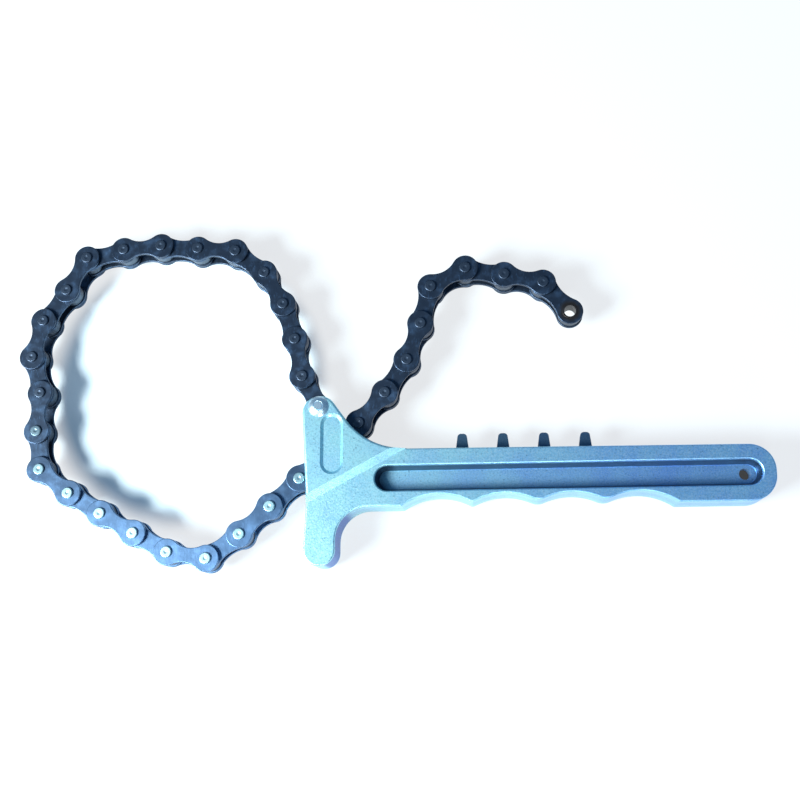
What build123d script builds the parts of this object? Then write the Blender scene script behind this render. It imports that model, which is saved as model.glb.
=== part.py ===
"""A chain wrench for oil filters, lying flat with its chain looped through the head.

The wrench is one die-cast handle with a forked head, and a riveted roller chain of the
bicycle kind. One end of the chain is held by a rivet through the fork. The chain makes a
loop, runs back through the fork's slot and ends in a free tail. Four teeth on the back of
the handle have the chain's pitch, so the tail can be hooked over them.

Units are millimetres. +X runs along the handle to its far end, +Z is up, and the chain
lies in the handle's middle plane. The origin is the hanging hole, at mid thickness.
"""
import os
from math import atan, cos, degrees, radians, sin, sqrt, tan

from build123d import *

os.makedirs("parts", exist_ok=True)

# Chain sizes: half inch pitch, eighth of an inch between the inner plates
chain_pitch = 12.7
inner_width = 3.3
plate_thickness = 1.1
plate_height = 8.4
inner_plate_waist = 5.6
outer_plate_waist = 4.7
plate_gap = 0.12
plate_edge_round = 0.25
pin_diameter = 3.6
pin_proud = 0.65
pin_edge_round = 0.35
pin_dimple_radius = 0.7
pin_dimple_depth = 0.15
pin_clearance = 0.05
bush_wall = 0.65
bush_edge_round = 0.15
roller_diameter = 7.7
roller_edge_round = 0.3
roller_clearance = 0.08
roller_end_play = 0.1

# Direction of every link from the rivet to the free end, in degrees from +X
link_headings = [
    119, 102, 109, 120.5, 141.5, 174, 173.5, 184, 191.5, 240.5, 235,
    256.5, 286.5, 268.5, 278.5, 322, 328.5, 330, 331.5, 350.5, 395.5, 402,
    403, 402.5, 403.5, 409.5, 416.5, 429.5, 434.5, 388, 348, 346, 311,
]
# The link that lies in the middle of the head's slot, counted from the rivet
gate_link = 25

# Rivet that holds the first link
rivet_diameter = pin_diameter
rivet_head_diameter = 6.6
rivet_head_height = 1.4
rivet_nib_radius = 1.25
rivet_nib_height = 0.3
rivet_nib_groove = 0.35
rivet_seat_radius = 3.9
rivet_seat_clearance = 0.15

# Forked head of the handle
slot_side_clearance = 0.6
cheek_thickness = 2.8
cheek_edge_round = 0.8
cheek_tip_radius = 5.5
cheek_left = -6.4
slot_floor_drop = 13.0
slot_floor_angle = 28.2
cheek_step_above_floor = 0.3
cheek_step_width = 2.3
throat_x = 15.3
throat_radius = 22.0
front_angle = -54.3
pocket_width = 7.2
pocket_length = 19.2
pocket_depth = 0.8
pocket_wall_slope = 0.9
pocket_x = 4.3
pocket_y = -11.9

# Nose under the head, which bears on the filter
nose_left = -4.75
nose_right = 5.35
nose_drop = 26.7
nose_corner_radius = 4.9
nose_throat_radius = 10.0
back_waist_x = -3.6
back_waist_rise = 21.5
back_waist_radius = 60.0

# Bar of the handle
bar_thickness = 13.0
bar_axis_drop = 13.8
bar_reach = 138.6
bar_top_at_head = 9.3
bar_top_at_end = 8.5
bar_bottom = 8.7
bar_end_radius = 7.8
bar_edge_round = 0.5

# Long trough in both faces of the bar
trough_start = 17.4
trough_end_wall = 3.9
trough_width = 8.15
trough_depth = 4.75
trough_wall_slope = 1.2
trough_rim_round = 0.45

# Four finger hollows along the bottom of the bar
finger_count = 4
finger_radius = 20.0
finger_first_x = 37.2
finger_spacing_share = 1.015
finger_wall = 1.05
first_crest_round = 1.6
other_crest_round = 5.0

# Teeth on the top of the bar, one pitch apart
tooth_count = 4
tooth_first_x = 44.6
tooth_height = 5.3
tooth_side_clearance = 0.2
tooth_base_width = 4.4
tooth_tip_width = 2.7
tooth_tip_round = 1.1
tooth_root_sink = 1.0

# Hole to hang the wrench up by
hanging_hole_diameter = 3.5
hanging_hole_from_trough_end = 4.6

# How far cutting shapes run past what they cut
overrun = 1.0

# Sizes that follow from the ones above
link_count = len(link_headings)
inner_plate_outside = inner_width / 2 + plate_thickness
outer_plate_inside = inner_plate_outside + plate_gap
outer_plate_outside = outer_plate_inside + plate_thickness
chain_half_width = outer_plate_outside + pin_proud
slot_half_width = chain_half_width + slot_side_clearance
head_half_thickness = slot_half_width + cheek_thickness
bush_bore_radius = pin_diameter / 2 + pin_clearance
bush_radius = bush_bore_radius + bush_wall
half_bar = bar_thickness / 2
finger_spacing = finger_radius * finger_spacing_share
trough_end = bar_reach - trough_end_wall


def chain_points():
    """Centres of all the chain's pins, from the rivet at (0, 0) to the free end."""
    points = [Vector(0, 0, 0)]
    for heading in link_headings:
        step = Vector(cos(radians(heading)), sin(radians(heading)), 0) * chain_pitch
        points.append(points[-1] + step)
    return points


pin_points = chain_points()
gate = (pin_points[gate_link - 1] + pin_points[gate_link]) / 2
bar_axis_y = gate.Y - bar_axis_drop
hanging_hole_x = trough_end - hanging_hole_from_trough_end

# The head's step and slot floor run along one slanted direction
floor_slope = tan(radians(slot_floor_angle))
floor_height_over_rivet = gate.Y - slot_floor_drop - gate.X * floor_slope
floor_direction = Vector(cos(radians(slot_floor_angle)), sin(radians(slot_floor_angle)), 0)
floor_normal = Vector(-floor_direction.Y, floor_direction.X, 0)
floor_plane = Plane(
    origin=(0, floor_height_over_rivet, 0),
    x_dir=floor_normal,
    z_dir=floor_direction,
)


def round_tube(outer_radius, bore_radius, half_length, edge_round):
    """An upright tube about the Z axis with rounded outer edges."""
    tube = Cylinder(outer_radius, 2 * half_length) - Cylinder(bore_radius, 2 * half_length)
    rims = tube.edges().filter_by(GeomType.CIRCLE)
    outer_rims = [rim for rim in rims if rim.radius > (outer_radius + bore_radius) / 2]
    return fillet(outer_rims, edge_round)


def plate_outline(waist):
    """The waisted outline of a chain plate, from its first hole at the origin along +X."""
    half_pitch = chain_pitch / 2
    end_radius = plate_height / 2
    half_waist = waist / 2
    hollow_radius = (half_pitch ** 2 + half_waist ** 2 - end_radius ** 2) / (
        2 * (end_radius - half_waist)
    )
    hollow_centre = half_waist + hollow_radius
    tangent_share = end_radius / (end_radius + hollow_radius)
    neck_length = chain_pitch * (1 - tangent_share)
    outline = Circle(end_radius) + Pos(chain_pitch, 0) * Circle(end_radius)
    outline += Pos(half_pitch, 0) * Rectangle(neck_length, 2 * hollow_centre * tangent_share)
    for side in (1, -1):
        outline -= Pos(half_pitch, side * hollow_centre) * Circle(hollow_radius)
    return outline


def chain_plate(inside_z, hole_radius, waist):
    """A pair of plates, one above and one below the middle plane."""
    plate = extrude(plate_outline(waist), plate_thickness)
    flat_rims = plate.faces().sort_by(Axis.Z)
    plate = fillet(flat_rims[0].edges() + flat_rims[-1].edges(), plate_edge_round)
    for hole_x in (0, chain_pitch):
        plate -= Pos(hole_x, 0, plate_thickness / 2) * Cylinder(hole_radius, plate_thickness + overrun)
    upper = Pos(0, 0, inside_z) * plate
    return [upper, upper.mirror(Plane.XY)]


def chain_pin():
    """A pin whose ends stand proud of the outer plates, with a small dimple in each."""
    radius = pin_diameter / 2
    top = chain_half_width
    half_profile = Polyline(
        (0, 0),
        (radius, 0),
        (radius, top),
        (pin_dimple_radius, top),
        (0, top - pin_dimple_depth),
        close=True,
    )
    profile = Plane.XZ * make_face(half_profile)
    half_pin = revolve(profile, Axis.Z)
    top_rims = [e for e in half_pin.edges().filter_by(GeomType.CIRCLE) if e.radius > pin_dimple_radius]
    rim = max(top_rims, key=lambda edge: edge.center().Z)
    half_pin = fillet(rim, pin_edge_round)
    return half_pin + half_pin.mirror(Plane.XY)


def inner_link():
    """Two plates on two bushes, at the origin along +X."""
    pieces = chain_plate(inner_width / 2, bush_radius, inner_plate_waist)
    bush = round_tube(bush_radius, bush_bore_radius, inner_plate_outside, bush_edge_round)
    for bush_x in (0, chain_pitch):
        pieces.append(Pos(bush_x, 0, 0) * bush)
    return pieces


def link_rollers():
    """The two rollers that turn on an inner link's bushes."""
    half_length = inner_width / 2 - roller_end_play
    bore_radius = bush_radius + roller_clearance
    roller = round_tube(roller_diameter / 2, bore_radius, half_length, roller_edge_round)
    return [Pos(roller_x, 0, 0) * roller for roller_x in (0, chain_pitch)]


def outer_link():
    """Two plates riveted on two pins, at the origin along +X."""
    pieces = chain_plate(outer_plate_inside, pin_diameter / 2, outer_plate_waist)
    pin = chain_pin()
    for pin_x in (0, chain_pitch):
        pieces.append(Pos(pin_x, 0, 0) * pin)
    return pieces


def anchor_rivet():
    """A rivet through both cheeks, with a low domed head and a peened nib at each end."""
    shank = rivet_diameter / 2
    head = rivet_head_diameter / 2
    seat = head_half_thickness
    groove_radius = rivet_nib_radius + rivet_nib_groove
    dome_radius = (head ** 2 + rivet_head_height ** 2) / (2 * rivet_head_height)
    dome_centre = seat + rivet_head_height - dome_radius
    groove_z = dome_centre + sqrt(dome_radius ** 2 - groove_radius ** 2)
    mid_radius = (head + groove_radius) / 2
    mid_z = dome_centre + sqrt(dome_radius ** 2 - mid_radius ** 2)
    nib_floor = groove_z - rivet_nib_height
    outline = [
        Line((0, 0), (shank, 0)),
        Line((shank, 0), (shank, seat)),
        Line((shank, seat), (head, seat)),
        ThreePointArc((head, seat), (mid_radius, mid_z), (groove_radius, groove_z)),
        Line((groove_radius, groove_z), (rivet_nib_radius, nib_floor)),
        Line((rivet_nib_radius, nib_floor), (rivet_nib_radius, groove_z)),
        Line((rivet_nib_radius, groove_z), (0, groove_z)),
        Line((0, groove_z), (0, 0)),
    ]
    half_rivet = revolve(Plane.XZ * make_face(outline), Axis.Z)
    return half_rivet + half_rivet.mirror(Plane.XY)


def handle_outline():
    """The handle seen from above, with the finger hollows cut out of its bottom edge."""
    top_at_head = bar_axis_y + bar_top_at_head
    top_at_end = bar_axis_y + bar_top_at_end
    bottom = bar_axis_y - bar_bottom
    nose_bottom = bar_axis_y - nose_drop
    front_slope = tan(radians(front_angle))
    front_level = top_at_head - throat_x * front_slope
    corners = [
        (cheek_left, front_level + cheek_left * front_slope),
        (throat_x, top_at_head),
        (bar_reach, top_at_end),
        (bar_reach, bottom),
        (nose_right, bottom),
        (nose_right, nose_bottom),
        (nose_left, nose_bottom),
        (back_waist_x, nose_bottom + back_waist_rise),
    ]
    corner_radii = [
        cheek_tip_radius,
        throat_radius,
        bar_end_radius,
        bar_end_radius,
        nose_throat_radius,
        nose_corner_radius,
        nose_corner_radius,
        back_waist_radius,
    ]
    outline = make_face(FilletPolyline(*corners, radius=corner_radii, close=True))
    hollow_y = bar_axis_y - trough_width / 2 - finger_wall - finger_radius
    for number in range(finger_count):
        hollow_x = finger_first_x + number * finger_spacing
        outline -= Pos(hollow_x, hollow_y) * Circle(finger_radius)
    first_crest_x = finger_first_x + finger_spacing / 2
    for number in range(finger_count - 1):
        crest_x = first_crest_x + number * finger_spacing
        crest = outline.vertices().sort_by_distance((crest_x, bottom))[0]
        outline = fillet(crest, other_crest_round if number else first_crest_round)
    return outline


def rounded_slab(outline, half_thickness, edge_round):
    """A slab about the middle plane, rounded along both faces."""
    slab = extrude(outline, half_thickness, both=True)
    faces = slab.faces().sort_by(Axis.Z)
    return fillet(faces[0].edges() + faces[-1].edges(), edge_round)


def slanted_prism(points, half_length):
    """A prism along the slot floor's direction; a point is (height over the floor, z)."""
    section = floor_plane * make_face(Polyline(*points, close=True))
    return extrude(section, half_length, both=True)


def obround_pocket(length, width, depth, wall_slope, centre, turn):
    """A pocket with sloping walls, cut from the upper side of a face at z = 0."""
    mouth = Pos(*centre) * Rot(0, 0, turn) * SlotOverall(length, width)
    taper = degrees(atan(wall_slope / depth))
    return extrude(mouth, -depth, taper=taper)


def tooth(centre_x):
    """One tooth in the middle plane, with a rounded tip."""
    top_share = (centre_x - throat_x) / (bar_reach - throat_x)
    edge_drop = (bar_top_at_head - bar_top_at_end) * top_share
    base_y = bar_axis_y + bar_top_at_head - edge_drop
    tip_y = base_y + tooth_height
    half_base = tooth_base_width / 2
    half_tip = tooth_tip_width / 2
    profile = make_face(Polyline(
        (centre_x - half_base, base_y - tooth_root_sink),
        (centre_x + half_base, base_y - tooth_root_sink),
        (centre_x + half_tip, tip_y),
        (centre_x - half_tip, tip_y),
        close=True,
    ))
    tips = [corner for corner in profile.vertices() if corner.Y > base_y]
    profile = fillet(tips, tooth_tip_round)
    return extrude(profile, inner_width / 2 - tooth_side_clearance, both=True)


def handle():
    """The whole casting: bar, forked head, nose, teeth and troughs."""
    outline = handle_outline()
    head_reach = bar_reach
    casting = rounded_slab(outline, half_bar, bar_edge_round)

    step = cheek_step_above_floor
    cheek_shape = slanted_prism(
        [
            (step - cheek_step_width, half_bar),
            (step, head_half_thickness),
            (head_reach, head_half_thickness),
            (head_reach, -head_half_thickness),
            (step, -head_half_thickness),
            (step - cheek_step_width, -half_bar),
        ],
        head_reach,
    )
    cheeks = rounded_slab(outline, head_half_thickness, cheek_edge_round) & cheek_shape
    casting += cheeks

    slot = slanted_prism(
        [
            (0, slot_half_width),
            (head_reach, slot_half_width),
            (head_reach, -slot_half_width),
            (0, -slot_half_width),
        ],
        head_reach,
    )
    casting -= slot

    seat_inside = inner_plate_outside + rivet_seat_clearance
    seat_height = slot_half_width - seat_inside
    seat = Pos(0, 0, seat_inside + seat_height / 2) * Cylinder(rivet_seat_radius, seat_height)
    casting += seat
    casting += seat.mirror(Plane.XY)
    casting -= Cylinder(rivet_diameter / 2, 2 * (head_half_thickness + overrun))

    pocket = Pos(0, 0, head_half_thickness) * obround_pocket(
        pocket_length, pocket_width, pocket_depth, pocket_wall_slope, (pocket_x, pocket_y), 90,
    )
    trough_middle = (trough_start + trough_end) / 2
    trough = Pos(0, 0, half_bar) * obround_pocket(
        trough_end - trough_start, trough_width, trough_depth, trough_wall_slope,
        (trough_middle, bar_axis_y), 0,
    )
    for cut in (pocket, trough):
        casting -= cut
        casting -= cut.mirror(Plane.XY)

    rims = [
        edge for edge in casting.edges()
        if abs(abs(edge.center().Z) - half_bar) < bar_edge_round / 2
        and abs(edge.center().Y - bar_axis_y) < trough_width / 2 + finger_wall / 2
        and trough_start - overrun < edge.center().X < trough_end + overrun
    ]
    casting = fillet(rims, trough_rim_round)

    for number in range(tooth_count):
        casting += tooth(tooth_first_x + number * chain_pitch)
    hole = Cylinder(hanging_hole_diameter / 2, bar_thickness)
    casting -= Pos(hanging_hole_x, bar_axis_y, 0) * hole
    return casting


def write_node(pieces, name):
    """Moves pieces from the rivet's frame to the hanging hole's frame and writes them."""
    to_frame = Pos(-hanging_hole_x, -bar_axis_y, 0)
    solids = []
    for piece in pieces:
        solids.extend((to_frame * piece).solids())
    shape = solids[0] if len(solids) == 1 else Compound(children=solids)
    export_step(shape, f"parts/{name}.step")


def main():
    write_node([handle()], "handle")
    write_node([anchor_rivet()], "anchor_rivet")
    inner_pieces = inner_link()
    roller_pieces = link_rollers()
    outer_pieces = outer_link()
    for number, heading in enumerate(link_headings, start=1):
        place = Location(pin_points[number - 1]) * Rot(0, 0, heading)
        if number % 2:
            write_node([place * piece for piece in inner_pieces], f"inner_link_{number:02d}")
            write_node([place * piece for piece in roller_pieces], f"rollers_{number:02d}")
        else:
            write_node([place * piece for piece in outer_pieces], f"outer_link_{number:02d}")


main()
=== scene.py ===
"""A chain wrench for oil filters, dressed for its photograph: cast handle, rivet and roller chain."""
from math import radians

import bpy
from mathutils import Matrix, Vector


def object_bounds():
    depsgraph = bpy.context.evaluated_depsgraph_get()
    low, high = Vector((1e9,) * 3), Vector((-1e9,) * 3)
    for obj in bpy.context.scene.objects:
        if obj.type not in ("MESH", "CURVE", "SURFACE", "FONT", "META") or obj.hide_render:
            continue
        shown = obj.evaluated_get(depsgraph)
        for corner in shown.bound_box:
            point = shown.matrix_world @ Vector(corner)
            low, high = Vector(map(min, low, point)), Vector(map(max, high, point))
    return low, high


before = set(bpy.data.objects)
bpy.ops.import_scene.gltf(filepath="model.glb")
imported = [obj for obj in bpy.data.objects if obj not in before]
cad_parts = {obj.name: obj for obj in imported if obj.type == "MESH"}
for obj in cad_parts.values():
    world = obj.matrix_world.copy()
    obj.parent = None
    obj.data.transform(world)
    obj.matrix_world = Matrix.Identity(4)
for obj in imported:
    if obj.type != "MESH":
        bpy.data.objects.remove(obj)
cad_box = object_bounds()

# The handle is one die casting in aluminium alloy: bar, forked head, nose and teeth.
# Its skin is sandy and matt with small pits. Pale at the head and bluer to the far end is painted
# light falloff. The trough's floor is painted bluer, and its walls, ends and the floor's bottom, the
# teeth and the nose's right wall are painted darker, all as painted shade.
MM = 0.001


class Value:
    """A shader socket that adds a Math node for each operator used on it."""

    def __init__(self, finish, socket):
        self.finish = finish
        self.socket = socket

    def math(self, operation, *others):
        return self.finish.node("ShaderNodeMath", {"operation": operation}, self, *others)

    def __add__(self, other):
        return self.math("ADD", other)

    def __sub__(self, other):
        return self.math("SUBTRACT", other)

    def __rsub__(self, other):
        return self.finish.node("ShaderNodeMath", {"operation": "SUBTRACT"}, other, self)

    def __mul__(self, other):
        return self.math("MULTIPLY", other)

    def __pow__(self, other):
        return self.math("POWER", other)

    __radd__ = __add__
    __rmul__ = __mul__

    def rise(self, low, high):
        """0 below low, 1 above high, smooth between; the other way round if high is less."""
        return self.finish.node(
            "ShaderNodeMapRange", {"interpolation_type": "SMOOTHSTEP"}, self, low, high, 0.0, 1.0)

    def __abs__(self):
        return self.math("ABSOLUTE")


class Finish:
    """A material under construction, with a Principled shader at its end."""

    def __init__(self, name):
        self.material = bpy.data.materials.new(name)
        self.material.use_nodes = True
        self.nodes = self.material.node_tree.nodes
        self.links = self.material.node_tree.links
        self.shader = self.nodes["Principled BSDF"]
        place = self.nodes.new("ShaderNodeTexCoord").outputs["Object"]
        self.place = Value(self, place)

    def node(self, kind, settings, *inputs, out=0, **named):
        """Adds a node, makes its settings, fills its sockets in order or by name."""
        made = self.nodes.new(kind)
        for setting, value in settings.items():
            setattr(made, setting, value)
        for key, value in list(enumerate(inputs)) + list(named.items()):
            self.fill(made.inputs[key], value)
        return Value(self, made.outputs[out])

    def fill(self, socket, value):
        if isinstance(value, Value):
            self.links.new(value.socket, socket)
        elif value is not None:
            socket.default_value = value

    def axis(self, name):
        """One coordinate of the surface point, in metres."""
        return self.node("ShaderNodeSeparateXYZ", {}, self.place, out=name)

    def noise(self, grain, detail=3.0, stretch=(1.0, 1.0, 1.0)):
        """Smooth noise from 0 to 1 whose features are about one grain across."""
        spot = self.node("ShaderNodeMapping", {}, Vector=self.place, Scale=stretch)
        return self.node("ShaderNodeTexNoise", {}, Vector=spot, Scale=1.0 / grain, Detail=detail)

    def colours(self, share, first, second):
        """A colour that goes from the first to the second as share goes from 0 to 1."""
        made = self.nodes.new("ShaderNodeMix")
        made.data_type = "RGBA"
        self.fill(made.inputs["Factor"], share)
        for socket, colour in ((made.inputs[6], first), (made.inputs[7], second)):
            self.fill(socket, colour if isinstance(colour, Value) else (*colour, 1.0))
        return Value(self, made.outputs[2])

    def bump(self, height, depth, under=None):
        return self.node("ShaderNodeBump", {}, Height=height, Distance=depth, Normal=under)

    def close(self, colour, roughness, metallic, normal=None):
        for name, value in (("Base Color", colour), ("Roughness", roughness),
                            ("Metallic", metallic), ("Normal", normal)):
            if name == "Base Color" and not isinstance(value, Value):
                value = (*value, 1.0)
            self.fill(self.shader.inputs[name], value)
        return self.material


def coat(node, material):
    """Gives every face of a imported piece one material."""
    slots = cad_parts[node].material_slots
    for material_slot in slots:
        material_slot.material = material


CAST_PALE = (0.36, 0.78, 0.88)
CAST_DEEP = (0.16, 0.40, 0.92)
CAST_PIT = (0.04, 0.10, 0.19)
CAST_SHADE = (0.02, 0.05, 0.10)
NOSE_WALL_SHADE_BLUE = (0.03, 0.13, 0.45)
TROUGH_FLOOR_TOP = 3.0 * MM
SPARKLE = (0.72, 0.90, 0.96)
WALL_TOP = 6.1 * MM
WALL_BOTTOM = 5.3 * MM
TROUGH_HALF_WIDTH = 4.3 * MM
TROUGH_FLOOR = 1.8 * MM
TROUGH_LEFT = -113.0 * MM
TROUGH_RIGHT = 4.8 * MM
TROUGH_OVER = 6.0 * MM
TEETH_BASE = 9.2 * MM
TEETH_LEFT = -95 * MM
NOSE_TOP = -9.5 * MM
NOSE_MIDDLE = -129 * MM
HEAD_END = -125 * MM
DEEP_BLUE_FROM = -20 * MM

cast = Finish("cast_aluminium")
x, y, z = cast.axis("X"), cast.axis("Y"), cast.axis("Z")
blotch = cast.noise(9 * MM, 2.0)
sand = cast.noise(0.35 * MM, 2.0)
grit = cast.noise(0.6 * MM, 3.0)
pits = grit.rise(0.66, 0.72)
below_face = abs(z).rise(WALL_TOP, WALL_BOTTOM)
along_trough = x.rise(TROUGH_LEFT - 1 * MM, TROUGH_LEFT) * x.rise(
    TROUGH_OVER, TROUGH_OVER - 0.7 * MM)
on_bar = abs(y).rise(TROUGH_HALF_WIDTH, TROUGH_HALF_WIDTH - 0.3 * MM) * along_trough
# Painted shade: the trough's walls, its ends, the bottom band of its floor and a little over all of
# it are painted dark.
trough_wall_shade = on_bar * below_face * abs(z).rise(
    TROUGH_FLOOR + 0.1 * MM, TROUGH_FLOOR + 0.5 * MM)
trough_end_shade = x.rise(TROUGH_LEFT + 7 * MM, TROUGH_LEFT + 1 * MM) + x.rise(
    TROUGH_RIGHT - 2.5 * MM, TROUGH_RIGHT - 1 * MM) * 0.5
trough_low_shade = y.rise(1.0 * MM, -3.6 * MM)
trough_shade = on_bar * below_face * (trough_low_shade * 0.40 + trough_end_shade * 0.75 + 0.06)
# Painted shade: everything within 3 mm of the mid-plane, the trough's floor among it, is painted
# bluer.
trough_floor_shade = abs(z).rise(TROUGH_FLOOR_TOP, TROUGH_FLOOR)
# Painted shade: the teeth, which stand lower than the bar's face, are painted dark.
teeth = y.rise(TEETH_BASE, TEETH_BASE + 0.5 * MM) * x.rise(TEETH_LEFT, TEETH_LEFT + 1 * MM)
outer_wall = below_face * (1 - on_bar)
# Painted shade: the nose's right side wall, turned away from the window lamp, is painted dark blue.
nose_wall_shade = outer_wall * y.rise(NOSE_TOP, NOSE_TOP - 2.5 * MM) * x.rise(
    NOSE_MIDDLE, NOSE_MIDDLE + 2 * MM)
# Painted light falloff: the skin turns bluer towards the far end, away from the window lamp.
far_end_light_falloff = x.rise(HEAD_END, DEEP_BLUE_FROM)
cool = blotch.rise(0.35, 0.75) * 0.25 + far_end_light_falloff * 0.55 + trough_floor_shade * 0.2
skin = cast.colours(cool, CAST_PALE, CAST_DEEP)
skin = cast.colours(sand.rise(0.35, 0.75) * 0.30, skin, SPARKLE)
skin = cast.colours(grit.rise(0.45, 0.62) * 0.14 + pits * 0.4, skin, CAST_PIT)
skin = cast.colours(nose_wall_shade * 0.95, skin, NOSE_WALL_SHADE_BLUE)
# Painted shade in the trough.
skin = cast.colours(trough_wall_shade * 0.85 + trough_shade, skin, CAST_SHADE)
skin = cast.colours(teeth * 0.85, skin, CAST_SHADE)
rough_skin = cast.bump(sand, 0.02 * MM, cast.bump(grit, 0.026 * MM))
cast_material = cast.close(skin, 0.30 + sand * 0.16, 0.85, rough_skin)
coat("handle", cast_material)

# The rivet is a plain steel pin through both cheeks, with a low dome peened over at each
# end. Its steel is mottled at random between pale and dull.
RIVET_PALE = (0.70, 0.90, 1.0)
RIVET_DULL = (0.22, 0.38, 0.60)
rivet = Finish("rivet_steel")
brushed = rivet.noise(0.35 * MM, 2.0)
rivet_colour = rivet.colours(brushed.rise(0.4, 0.7) * 0.5, RIVET_PALE, RIVET_DULL)
coat("anchor_rivet", rivet.close(
    rivet_colour, 0.25 + brushed * 0.15, 0.95, rivet.bump(brushed, 0.03 * MM)))

# The chain's plates are blanked from strip and blued, then oiled. They are nearly black on
# top of the loop and the tail, and lighter blue along the loop's bottom, partly from wear and partly
# as a painted sheen of the window lamp. The last bush at the free end and the plate round it are a
# near-black brown.
PLATE_DARK = (0.030, 0.050, 0.085)
PLATE_WORN_AND_LIT = (0.13, 0.27, 0.50)
PIN_DARK = (0.045, 0.07, 0.11)
PIN_BRIGHT = (0.34, 0.56, 0.64)
BUSH_BROWN = (0.045, 0.035, 0.025)
FREE_END = (-50.58 * MM, 53.22 * MM)
OUTER_FACE = 4.0 * MM
LOOP_HIGH = 22 * MM
LOOP_LOW = -36 * MM
PINS_DARK_FROM = 32 * MM
PINS_BRIGHT_FROM = -14 * MM
TAIL_FROM = -129 * MM
TAIL_SURE = -126 * MM


def plate_finish(name, pins_show):
    """Blued plates, and pin ends where they stand above the outer plates, bright towards the loop's
    bottom partly from wear and partly as a painted sheen.
    """
    steel = Finish(name)
    x, y, z = steel.axis("X"), steel.axis("Y"), steel.axis("Z")
    on_tail = x.rise(TAIL_FROM, TAIL_SURE)
    # Lighter towards the loop's bottom: partly wear, partly a painted sheen where the window lamp
    # falls.
    worn_and_lit = y.rise(LOOP_HIGH, LOOP_LOW) * (1 - on_tail)
    patches = steel.noise(3.2 * MM, 3.0)
    scuffs = steel.noise(0.6 * MM, 4.0, (1.0, 0.35, 1.0))
    wear_and_sheen = worn_and_lit * 0.75 + patches.rise(0.45, 0.75) * 0.2 + scuffs.rise(0.55, 0.75) * 0.2
    colour = steel.colours(wear_and_sheen, PLATE_DARK, PLATE_WORN_AND_LIT)
    if pins_show:
        # Pins lighter towards the loop's bottom: partly wear, partly a painted sheen.
        pin_wear_and_sheen = y.rise(PINS_DARK_FROM, PINS_BRIGHT_FROM) * (1 - on_tail)
        pin_colour = steel.colours(pin_wear_and_sheen, PIN_DARK, PIN_BRIGHT)
        colour = steel.colours(abs(z).rise(OUTER_FACE, OUTER_FACE + 0.1 * MM), colour, pin_colour)
    else:
        # The inner plates round the last bush at the free end are coloured a near-black brown.
        from_end = ((x - FREE_END[0]) ** 2 + (y - FREE_END[1]) ** 2) ** 0.5
        colour = steel.colours(from_end.rise(4.2 * MM, 2.4 * MM) * 0.8, colour, BUSH_BROWN)
    relief = steel.bump(scuffs, 0.02 * MM, steel.bump(patches, 0.04 * MM))
    return steel.close(colour, 0.30 + patches * 0.22, 0.85, relief)


inner_steel = plate_finish("inner_plate_steel", False)
outer_steel = plate_finish("outer_plate_steel", True)

# Rollers are hardened steel tubes, darker than the plates with oil and dirt.
OIL_DARK = (0.03, 0.04, 0.06)
OIL_PALE = (0.11, 0.15, 0.20)
oily = Finish("roller_steel")
smear = oily.noise(1.5 * MM, 3.0)
roller_steel = oily.close(
    oily.colours(smear, OIL_DARK, OIL_PALE), 0.3 + smear * 0.2, 0.9)

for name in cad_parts:
    if name.startswith("inner_link"):
        coat(name, inner_steel)
    elif name.startswith("outer_link"):
        coat(name, outer_steel)
    elif name.startswith("rollers"):
        coat(name, roller_steel)

# The wrench lies on a pale table, which is white in the picture but for a soft shadow. Its glow is
# painted light, strong outside the loop and weak inside, so the shadow is deepest inside the loop;
# the table is painted black under the hanging hole as a painted shadow.
TABLE_PALE = (0.72, 0.90, 1.0)
TABLE_PAINTED_SHADOW = (0.002, 0.003, 0.005)
FLOOR_SIZE = 12.0
LOOP_CENTRE = (-178 * MM, 35 * MM)
LOOP_RADIUS = 45 * MM
bpy.ops.mesh.primitive_plane_add(size=FLOOR_SIZE, location=(0.0, 0.0, cad_box[0][2]))
table = bpy.context.object
table.name = "table"
top = Finish("pale_table")
table_x, table_y = top.axis("X"), top.axis("Y")
from_loop = ((table_x - LOOP_CENTRE[0]) ** 2 + (table_y - LOOP_CENTRE[1]) ** 2) ** 0.5
from_hole = (table_x ** 2 + table_y ** 2) ** 0.5
# Painted shadow: the table's colour is painted black under the hanging hole.
hole_shadow_paint = from_hole.rise(4.5 * MM, 3.8 * MM)
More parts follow.
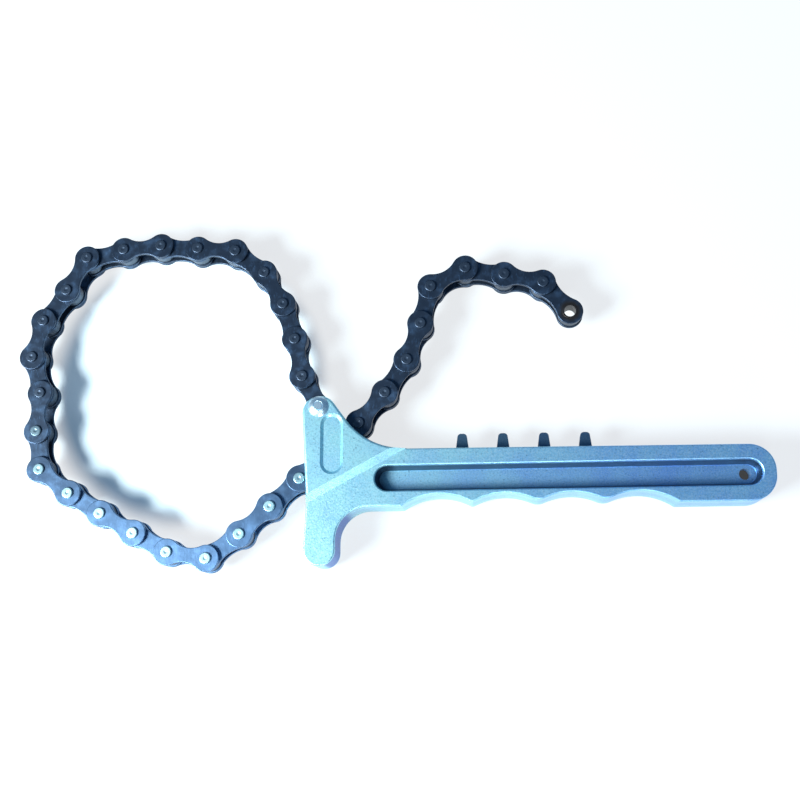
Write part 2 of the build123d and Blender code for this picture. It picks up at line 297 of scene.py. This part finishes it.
# Painted light: the table glows more outside the loop, washing out its shadow there; inside the loop
# and under the hole it glows little.
glow_outside_loop = from_loop.rise(LOOP_RADIUS - 5 * MM, LOOP_RADIUS + 5 * MM) * (1 - hole_shadow_paint)
top.close(top.colours(hole_shadow_paint, TABLE_PALE, TABLE_PAINTED_SHADOW), 0.6, 0.0)
path = top.nodes.new("ShaderNodeLightPath")
seen = Value(top, path.outputs["Is Camera Ray"]) + Value(top, path.outputs["Is Glossy Ray"])
glow = top.node("ShaderNodeEmission", {}, Color=(1.0, 1.0, 1.0, 1.0), Strength=1.0)
mixed = top.node("ShaderNodeMixShader", {}, seen * (glow_outside_loop * 0.7 + 0.05),
                 Value(top, top.shader.outputs[0]), glow)
top.links.new(mixed.socket, top.nodes["Material Output"].inputs["Surface"])
table.data.materials.append(top.material)

# A window close by on the left of the near side lights it, with a weak light from a door and
# one from the bench in front. The room round it is dim and blue.
world = bpy.data.worlds.new("room")
bpy.context.scene.world = world
world.use_nodes = True
sky = world.node_tree.nodes["Background"]
sky.inputs["Color"].default_value = (0.30, 0.62, 1.0, 1.0)
sky.inputs["Strength"].default_value = 0.30


def lamp(name, place, aim, size, power, colour):
    light = bpy.data.lights.new(name, "AREA")
    light.size = size
    light.energy = power
    light.color = colour
    made = bpy.data.objects.new(name, light)
    bpy.context.collection.objects.link(made)
    made.location = place
    made.rotation_euler = (Vector(aim) - Vector(place)).to_track_quat("-Z", "Y").to_euler()


lamp("window", (-0.50, -0.18, 0.38), (-0.10, 0.0, 0.0), 0.22, 9.8, (1.0, 1.0, 0.96))
lamp("door", (0.02, -0.30, 0.45), (-0.12, 0.0, 0.0), 0.15, 0.30, (1.0, 1.0, 0.96))
lamp("bench", (-0.05, -0.55, 0.25), (-0.06, 0.0, 0.0), 0.15, 1.0, (1.0, 1.0, 1.0))

# The camera stands a little to the left of the handle's head and looks almost straight down.
CAMERA_PLACE = Vector((-73.71, -53.55, 340.17)) * MM
CAMERA_TILT = 13.0505
CAMERA_LEAN = 5.4651
CAMERA_TURN = -1.4132
eye = bpy.data.cameras.new("camera")
eye.lens = 49.5
eye.sensor_width = 36.0
eye.clip_start = 0.01
camera = bpy.data.objects.new("camera", eye)
bpy.context.collection.objects.link(camera)
turn = (Matrix.Rotation(radians(CAMERA_TURN), 4, "Z")
        @ Matrix.Rotation(radians(CAMERA_TILT), 4, "X")
        @ Matrix.Rotation(radians(CAMERA_LEAN), 4, "Y"))
camera.matrix_world = Matrix.Translation(CAMERA_PLACE) @ turn
bpy.context.scene.camera = camera
bpy.context.scene.view_settings.view_transform = "Standard"
